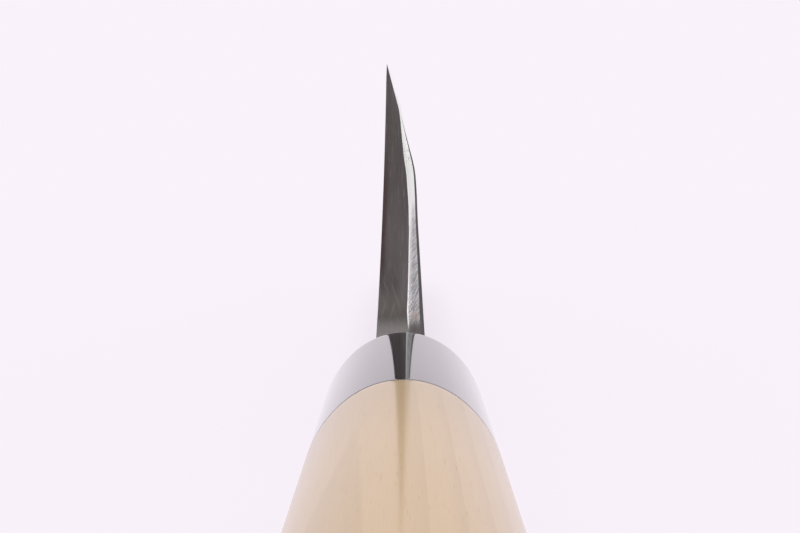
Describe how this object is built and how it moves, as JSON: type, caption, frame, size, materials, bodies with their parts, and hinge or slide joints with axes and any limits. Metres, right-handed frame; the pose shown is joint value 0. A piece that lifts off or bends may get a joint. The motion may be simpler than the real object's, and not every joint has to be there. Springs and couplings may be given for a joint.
{
  "type": "deba knife",
  "caption": "Heavy single-bevel kitchen knife with a thick wedge blade, tall heel, hollow-ground back and oval wooden handle with a dark ferrule, for splitting and filleting fish.",
  "frame": {"origin": "middle of the bounding box on the plane that the knife stands on, which holds the flat spine and the back line of the handle", "axes": "+Y along the knife from the handle butt to the tip, +Z from the spine to the cutting edge, +X towards the bevelled side"},
  "size_m": [0.024, 0.3426, 0.0593],
  "materials": {
    "soft_iron": "satin ground, with a brighter ground corner at the heel",
    "edge_steel": "fine satin, slightly darker than the iron",
    "horn": "polished black horn, mirror gloss",
    "magnolia": "sanded bare magnolia with a satin sheen",
    "resin": "dull dark resin"
  },
  "bodies": {
    "root": {"blade_body": "soft_iron", "edge_steel": "edge_steel", "ferrule": "horn", "handle": "magnolia", "tang_bedding": "resin"}
  },
  "joints": []
}
